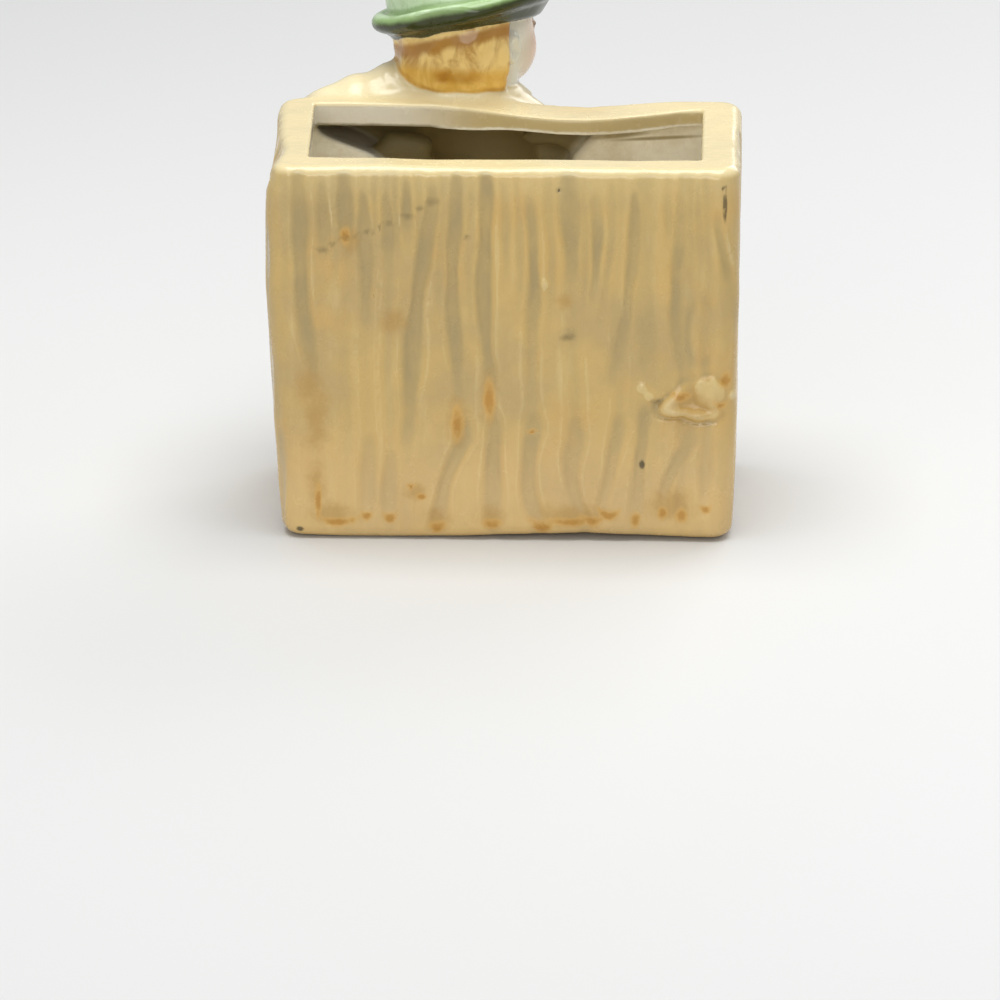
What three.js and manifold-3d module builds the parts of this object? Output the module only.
// Ceramic figural planter: an open box textured like bark, cast in one piece with a figure
// in a green hat, who leans against its front with one elbow on the corner.
// Millimetres, +Z up. The figure faces -Y and the box is behind it.
// The origin is the middle of the underside, on the surface that the planter stands on.
import * as THREE from "three";
import { mergeVertices } from "three/addons/utils/BufferGeometryUtils.js";
import Module from "manifold-3d";

const wasm = await Module();
wasm.setup();

// Driving sizes of the box.
const WIDTH = 133;
const DEPTH = 78;
const HEIGHT = 109;
const WALL = 5;
const CORNER_RADIUS = 7;
const EDGE_RADIUS = 3.5;

// The ground in front of the box, which the figure stands on, reaches just past its hat.
const GROUND_REACH = 43.5;
const GROUND_HALF_WIDTH = 42;
const GROUND_HEIGHT = 5.5;

// The box's outer faces. Together with the ground they make the footprint centred on the origin.
const BACK_Y = (DEPTH + GROUND_REACH) / 2;
const FRONT_Y = BACK_Y - DEPTH;
const SIDE_X = WIDTH / 2;

// The mouth is cut through the top, with a rim left on every side.
const SIDE_RIM = 10.5;
const BACK_RIM = 11.5;

// How the hand-made box strays from a true block.
const FOOT_TAPER = 4; // the side at +X draws in this much towards the foot
const FOOT_TAPER_LEFT = 1.4; // and the side at -X this much
const TAPER_HEIGHT = 75;
const RIM_SAG = 1.5; // the front rim dips beside the head
const SAG_X = -20;
const SAG_SPREAD = 20;

// The head and the hat, measured from the middle of the wall that the figure leans against.
const HEAD = [13.5, -15, 126];
const HEAD_TURN = 45; // degrees towards -X
const HAT = [13.4, -15.5, 132.2];
const HAT_ROLL = 0.223; // radians, down towards +X
const HAT_PITCH = 0.14; // up towards the box

const GOUGE_DEPTH = 0.9;
const SURFACE_STEP = 15; // spacing of the points that let the block's long sides bend

const clamp01 = (value) => Math.min(1, Math.max(0, value));
const smooth = (value) => {
  const t = clamp01(value);
  return t * t * (3 - 2 * t);
};

// A three.js geometry as a solid that can be joined and cut.
function solidOf(geometry) {
  const bare = new THREE.BufferGeometry();
  bare.setAttribute("position", geometry.getAttribute("position"));
  if (geometry.index) bare.setIndex(geometry.index);
  const merged = mergeVertices(bare, 1e-3);
  const solid = new wasm.Manifold(
    new wasm.Mesh({
      numProp: 3,
      vertProperties: merged.attributes.position.array,
      triVerts: new Uint32Array(merged.index.array),
    }),
  );
  if (solid.volume() > 0) return solid;
  throw new Error("a piece is inside out");
}

// Moves every vertex of a geometry to where place(x, y, z) says.
function reshape(geometry, place) {
  const at = geometry.getAttribute("position");
  for (let i = 0; i < at.count; i++) {
    at.setXYZ(i, ...place(at.getX(i), at.getY(i), at.getZ(i)));
  }
  return geometry;
}

// The draw-in of the foot and the dip of the front rim, for any point of the box.
function strayFromBlock(x, y, z) {
  const low = clamp01((TAPER_HEIGHT - z) / TAPER_HEIGHT) ** 1.5;
  const drawIn = ((x > 0 ? FOOT_TAPER : FOOT_TAPER_LEFT) * low * x) / SIDE_X;
  const beside = Math.exp(-(((x - SAG_X) / SAG_SPREAD) ** 2));
  const sag = RIM_SAG * beside * smooth((8 - y) / 14) * smooth((z - 90) / 12);
  return [x - drawIn, y, z - sag];
}

// A rectangle with round corners, with points along its sides.
function roundedRectangle(x0, x1, y0, y1, radius) {
  const centres = [
    [x1 - radius, y1 - radius],
    [x0 + radius, y1 - radius],
    [x0 + radius, y0 + radius],
    [x1 - radius, y0 + radius],
  ];
  const steps = 3;
  const corners = centres.map(([cx, cy], quarter) =>
    Array.from({ length: steps + 1 }, (_, i) => {
      const angle = ((quarter + i / steps) * Math.PI) / 2;
      return new THREE.Vector2(cx + radius * Math.cos(angle), cy + radius * Math.sin(angle));
    }),
  );
  const outline = [];
  corners.forEach((corner, i) => {
    outline.push(...corner);
    const from = corner.at(-1);
    const to = corners[(i + 1) % 4][0];
    const pieces = Math.max(1, Math.round(from.distanceTo(to) / SURFACE_STEP));
    for (let k = 1; k < pieces; k++) outline.push(from.clone().lerp(to, k / pieces));
  });
  return new THREE.Shape(outline);
}

// An upright block with round edges above and below.
function block(shape, z0, z1, edgeRadius) {
  const depth = z1 - z0 - 2 * edgeRadius;
  const geometry = new THREE.ExtrudeGeometry(shape, {
    depth,
    steps: Math.max(1, Math.round(depth / SURFACE_STEP)),
    bevelThickness: edgeRadius,
    bevelSize: edgeRadius,
    bevelOffset: -edgeRadius,
    bevelSegments: 3,
  });
  return geometry.translate(0, 0, z0 + edgeRadius);
}

// The figure's pieces are drawn with y measured from the wall that it leans against.
const onWall = (geometry) => solidOf(geometry.translate(0, FRONT_Y, 0));

function ellipsoid(centre, radii, { turn = 0, roll = 0, fine = 1 } = {}) {
  const geometry = new THREE.SphereGeometry(1, Math.round(12 * fine), Math.round(8 * fine));
  geometry.rotateX(Math.PI / 2).scale(...radii);
  geometry.rotateY(THREE.MathUtils.degToRad(roll)).rotateZ(THREE.MathUtils.degToRad(turn));
  return onWall(geometry.translate(...centre));
}

// A limb along a smooth curve through [x, y, z, radius] points, with domed ends. Its depth
// from front to back is its height times flatness.
function limb(points, { sides = 8, flatness = 1 } = {}) {
  const curve = new THREE.CatmullRomCurve3(
    points.map(([x, y, z]) => new THREE.Vector3(x, y, z)),
    false,
    "centripetal",
  );
  const spans = (points.length - 1) * 2;
  const frames = curve.computeFrenetFrames(spans);
  const radiusAt = (t) => {
    const place = t * (points.length - 1);
    const i = Math.min(points.length - 2, Math.floor(place));
    return THREE.MathUtils.lerp(points[i][3], points[i + 1][3], place - i);
  };
  const domes = [0, 0.75].map((share) => ({ share, along: Math.sqrt(1 - share * share) }));
  const rows = [
    ...domes.map(({ share, along }) => ({ i: 0, share, along: -along })),
    ...Array.from({ length: spans + 1 }, (_, i) => ({ i, share: 1, along: 0 })),
    ...domes.reverse().map((dome) => ({ i: spans, ...dome })),
  ];
  const profile = rows.map((row, k) => new THREE.Vector2(row.share, k));
  const geometry = new THREE.LatheGeometry(profile, sides);
  reshape(geometry, (x, k, z) => {
    const { i, along } = rows[Math.round(k)];
    const radius = radiusAt(i / spans);
    const offset = new THREE.Vector3()
      .addScaledVector(frames.tangents[i], along * radius)
      .addScaledVector(frames.normals[i], z * radius)
      .addScaledVector(frames.binormals[i], x * radius);
    offset.y *= flatness;
    return curve.getPoint(i / spans).add(offset).toArray();
  });
  return onWall(geometry);
}

// A body built up from level oval sections, each [x, y, z, half width, half depth].
function loft(sections, sides = 14) {
  const profile = [[0, 0], ...sections.map((_, k) => [1, k]), [0, sections.length - 1]];
  const points = profile.map(([radius, k]) => new THREE.Vector2(radius, k));
  const geometry = new THREE.LatheGeometry(points, sides);
  reshape(geometry, (x, k, z) => {
    const [cx, cy, cz, halfWidth, halfDepth] = sections[Math.round(k)];
    return [cx + x * halfWidth, cy - z * halfDepth, cz];
  });
  return onWall(geometry);
}

const join = (pieces) => pieces.reduce((whole, piece) => whole.add(piece));

// The hollow box.
function hollowBox() {
  const outside = block(
    roundedRectangle(-SIDE_X, SIDE_X, FRONT_Y, BACK_Y, CORNER_RADIUS),
    0,
    HEIGHT,
    EDGE_RADIUS,
  );
  const inner = SIDE_X - WALL;
  const inside = block(
    roundedRectangle(-inner, inner, FRONT_Y + WALL, BACK_Y - WALL, CORNER_RADIUS - 3),
    WALL,
    HEIGHT - WALL,
    2.5,
  );
  const shell = solidOf(reshape(outside, strayFromBlock));
  return { shell, inside: solidOf(reshape(inside, strayFromBlock)) };
}

// The mouth: straight on three sides, and waved where the rim swells beside the head.
function mouth() {
  const side = SIDE_X - SIDE_RIM;
  const back = BACK_Y - BACK_RIM;
  const front = new THREE.SplineCurve(
    [
      [side, FRONT_Y + 7.4],
      [23, FRONT_Y + 7.4],
      [14, FRONT_Y + 9.8],
      [3, FRONT_Y + 14.5],
      [-14.5, FRONT_Y + 19.5],
      [-23, FRONT_Y + 19.5],
      [-40, FRONT_Y + 15],
      [-side, FRONT_Y + 11],
    ].map(([x, y]) => new THREE.Vector2(x, y)),
  );
  const outline = [...front.getPoints(14), new THREE.Vector2(-side, back), new THREE.Vector2(side, back)];
  const cut = new THREE.ExtrudeGeometry(new THREE.Shape(outline.reverse()), {
    depth: WALL + 10,
    bevelEnabled: false,
  });
  return solidOf(cut.translate(0, 0, HEIGHT - WALL - 3));
}

// The hollow that slip casting leaves inside the figure's trunk and arms, open to the box.
function hollowBack() {
  return join([
    ellipsoid([8.5, 0, 88], [12.5, 14, 15]),
    limb([[-12.5, 0, 89, 5.4], [-5, 0, 93, 6], [12, 0, 96.5, 6.5], [33, 0, 98.5, 5.3], [53, 0, 99, 4.4]]),
  ]);
}

// One bark gouge on an upright face. It runs from (u0, z0) to (u1, z1), bowed sideways in its
// middle, and rises out of the face at both ends. toFace(u, out, z) places it on the face.
function gouge([u0, z0, u1, z1, bow, width], toFace) {
  const radius = (width ** 2 / 4 + GOUGE_DEPTH ** 2) / (2 * GOUGE_DEPTH);
  const stations = 3;
  const path = Array.from({ length: stations + 1 }, (_, i) => {
    const t = i / stations;
    const middle = 4 * t * (1 - t);
    const u = THREE.MathUtils.lerp(u0, u1, t) + bow * middle;
    const z = THREE.MathUtils.lerp(z0, z1, t);
    const out = radius - GOUGE_DEPTH * Math.min(1, 0.15 + 1.6 * middle);
    return new THREE.Vector3(...toFace(u, out, z));
  });
  const section = new THREE.Shape(
    Array.from({ length: 8 }, (_, i) => {
      const angle = (i * Math.PI) / 4;
      return new THREE.Vector2(radius * Math.cos(angle), radius * Math.sin(angle));
    }),
  );
  const cut = new THREE.ExtrudeGeometry(section, {
    steps: stations,
    extrudePath: new THREE.CatmullRomCurve3(path),
    bevelEnabled: false,
  });
  return solidOf(cut);
}

// The gouges of the back face, as rows of [u0, z0, u1, z1, bow, width]. u runs to the right
// as the back is seen, from the middle of the face.
const BACK_GOUGES_FROM_RIM = [
  [-57, 106, -53, 47, -1.5, 2.9],
  [-50.3, 102, -50.3, 85, 0, 2.6],
  [-43.8, 104, -43.8, 86, 0, 3.4],
  [-38.4, 99, -38.4, 66, 0, 2.8],
  [-31.5, 105, -31.9, 79, 0, 2.6],
  [-19.8, 100, -26.8, 30, 0.8, 3.2],
  [-13, 104, -12.1, 40, -3.5, 3.2],
  [-4.5, 104, -3.6, 40, -2.4, 3.6],
  [1.3, 101, 1.3, 75, 0, 2.6],
  [8.3, 96, 8.5, 37, 0.8, 2.8],
  [19.2, 105, 19.2, 75, 0, 3.6],
  [26.1, 97, 26.1, 73, 0, 2.4],
  [36.6, 97, 30.9, 50, 3, 2.6],
  [50.1, 100, 49, 54, 0, 2.6],
  [59.5, 95, 61, 73, 0, 2.2],
];
const BACK_GOUGES_FROM_FOOT = [
  [-37.9, 26, -37.9, 7, 0, 3],
  [-30.8, 22, -32.2, 6, 0, 3.2],
  [-10.4, 29, -18.3, 4.5, -2.4, 3],
  [-2.2, 32, -2.2, 5, 0, 3.4],
  [8.5, 32, 10.8, 5, -3.4, 3.4],
  [20.4, 30, 23.8, 6, -2.6, 3.4],
  [32.9, 32, 28.6, 8, 0.4, 2.8],
  [40.2, 35, 38, 6, 0, 2.8],
  [52.4, 29, 45.6, 8, -2, 3.4],
];

// Plainer gouges for the faces that matter less: one row hangs from the rim and one stands on
// the foot, with lengths and places that vary by a fixed pattern.
function plainGouges(from, to, pitch) {
  const rows = [];
  for (let i = 0, u = from; u <= to; i++, u = from + i * pitch) {
    const sway = 1.6 * Math.sin(2.4 * i);
    rows.push([u, 103 + 2 * Math.sin(1.7 * i), u + sway, 62 + 14 * Math.sin(3.1 * i), sway, 3]);
    rows.push([u + 2.2, 30 + 6 * Math.sin(2.2 * i), u - sway, 8, -sway, 3.2]);
  }
  return rows;
}

function barkGouges() {
  const back = [...BACK_GOUGES_FROM_RIM, ...BACK_GOUGES_FROM_FOOT];
  return join([
    ...back.map((row) => gouge(row, (u, out, z) => [-u, BACK_Y + out, z])),
    ...plainGouges(-57, -39, 9).map((row) => gouge(row, (u, out, z) => [u, FRONT_Y - out, z])),
    ...plainGouges(-7, 52, 14).map((row) =>
      gouge(row, (u, out, z) => [strayFromBlock(-SIDE_X, 0, z)[0] - out, u, z]),
    ),
    ...plainGouges(-5, 52, 14).map((row) =>
      gouge(row, (u, out, z) => [strayFromBlock(SIDE_X, 0, z)[0] + out, u, z]),
    ),
  ]);
}

// The ground under the figure's feet.
function ground() {
  const round = 2.5;
  const outline = new THREE.Shape();
  outline.absellipse(6, 0, GROUND_HALF_WIDTH, GROUND_REACH, 0, 2 * Math.PI);
  const whole = new THREE.ExtrudeGeometry(outline, {
    depth: GROUND_HEIGHT - round,
    curveSegments: 28,
    bevelThickness: round,
    bevelSize: round,
    bevelOffset: -round,
    bevelSegments: 2,
  });
  const behind = new THREE.BoxGeometry(2 * WIDTH, DEPTH, 40).translate(0, DEPTH / 2 + WALL / 2, 0);
  return onWall(whole).subtract(onWall(behind));
}

// Legs in stockings, shoes, and breeches that end below the knee.
function legs() {
  return join([
    limb([[-7, -8.5, 9, 5.4], [-7.5, -8, 23, 7], [-7.5, -9.5, 36, 6.8]]),
    limb([[17.5, -9.5, 9, 5.4], [18, -9.5, 23, 7], [17, -12.5, 36, 6.8]]),
    ellipsoid([-8, -17, 9.2], [6.4, 11.4, 5.4], { turn: -10 }),
    ellipsoid([19, -17.5, 9.2], [6.4, 11.4, 5.4], { turn: 16 }),
    limb([[-7.5, -9.5, 35, 9], [-6, -10, 46, 10.8], [-3, -11, 58, 12.5]]),
    limb([[17, -12.5, 35, 9], [15, -12, 46, 11], [11.5, -12, 58, 12.5]]),
    loft([
      [4.5, -11, 50, 13, 11],
      [4.5, -11.5, 56, 20, 15],
      [4.5, -12, 63, 20.5, 15.5],
      [5, -12, 70, 17.5, 14.5],
    ]),
  ]);
}

// The shirt's body, rounded into the wall behind it. The shoulder at -X is the lower one.
function trunk() {
  return loft([
    [5, -11, 66, 16.5, 14],
    [5.5, -10, 72, 17.5, 15],
    [7.5, -10, 82, 20, 17.5],
    [9.5, -10, 92, 21.5, 18],
    [12, -11, 100, 20.5, 15.5],
    [14, -11, 107, 17, 13],
    [14.5, -10, 112, 13, 10],
  ]);
}

function collar() {
  return loft([
    [13, -11, 106, 13, 11.5],
    [13, -11.5, 110, 14.8, 13.2],
    [13.2, -11.5, 113.5, 13, 11.5],
  ]);
}

// The raised arm leans its elbow on the box and hangs its hand. The other hand is in a pocket.
function arms() {
  const sleeve = { flatness: 0.9 };
  return join([
    limb([[22, -6, 103, 13], [33, -5, 104, 14], [45, -4, 100, 12.5], [54, -3.5, 99.2, 10.5]], sleeve),
    limb([[58, -6, 99, 7.6], [55, -7.5, 90, 6.4], [50, -8.5, 82, 5.2]]),
    ellipsoid([48.5, -9, 77.5], [5, 4.2, 6.6], { roll: 12 }),
    limb([[-4, -7, 95, 10], [-13, -6.5, 90.5, 10], [-20, -7.5, 79, 8.4]], sleeve),
    limb([[-20.5, -9.5, 78, 7], [-17, -16, 70.5, 6], [-12, -20, 63.5, 5.4]]),
  ]);
}

// The head turns towards -X, with bobbed hair down to the collar.
function head() {
  const [x, y, z] = HEAD;
  const aim = THREE.MathUtils.degToRad(HEAD_TURN);
  const inFront = (distance, up) => [
    x - distance * Math.sin(aim),
    y - distance * Math.cos(aim),
    z + up,
  ];
  const turned = { turn: -HEAD_TURN };
  return join([
    loft([
      [x, -9, 100, 13, 9],
      [x, -10, 114, 11.5, 9.5],
    ]),
    ellipsoid(inFront(2, 0), [16.6, 17, 18.2], { ...turned, fine: 1.3 }),
    ellipsoid(inFront(6.5, -9), [11, 11.5, 8.6], turned),
    ellipsoid(inFront(17.6, -3), [2.1, 3.6, 4], turned),
    loft([
      [x + 0.4, -8.5, 110, 16.4, 9.5],
      [x + 0.4, -10, 117, 18.4, 12],
      [x, -11, 124, 18.8, 15],
      [x, -12, 132, 18.2, 16],
    ]),
  ]);
}

// Hat with a rolled brim and a soft round crown, tipped down towards +X.
function hat() {
  const profile = [
    [0, -2.2],
    [21, -2.2],
    [25.2, -2.6],
    [27.2, -0.8],
    [26.9, 1.4],
    [24.6, 2.8],
    [22.4, 4],
    [22.2, 9],
    [20.6, 16],
    [16, 21.6],
    [8.5, 23.6],
    [0, 23.8],
  ];
  const geometry = new THREE.LatheGeometry(
    profile.map(([radius, up]) => new THREE.Vector2(radius, up)),
    22,
  );
  geometry.rotateX(Math.PI / 2).rotateY(HAT_ROLL).rotateX(HAT_PITCH);
  return onWall(geometry.translate(...HAT));
}

function planter() {
  const { shell, inside } = hollowBox();
  const carved = shell.subtract(barkGouges());
  const figure = join([ground(), legs(), trunk(), collar(), arms(), head(), hat()]);
  const hollow = join([inside, mouth(), hollowBack()]);
  const below = new THREE.BoxGeometry(3 * WIDTH, 3 * WIDTH, 60).translate(0, 0, -30);
  return carved.add(figure).subtract(hollow).subtract(solidOf(below));
}

function meshOf(name, solid, material) {
  const made = solid.getMesh();
  const geometry = new THREE.BufferGeometry();
  geometry.setAttribute("position", new THREE.BufferAttribute(made.vertProperties, 3));
  geometry.setIndex(new THREE.BufferAttribute(made.triVerts, 1));
  geometry.computeVertexNormals();
  const mesh = new THREE.Mesh(geometry, material);
  mesh.name = name;
  return mesh;
}

const glaze = new THREE.MeshStandardMaterial({ color: 0xc9a878, roughness: 0.2, metalness: 0 });

const group = new THREE.Group();
group.add(meshOf("planter", planter(), glaze));
export default group;
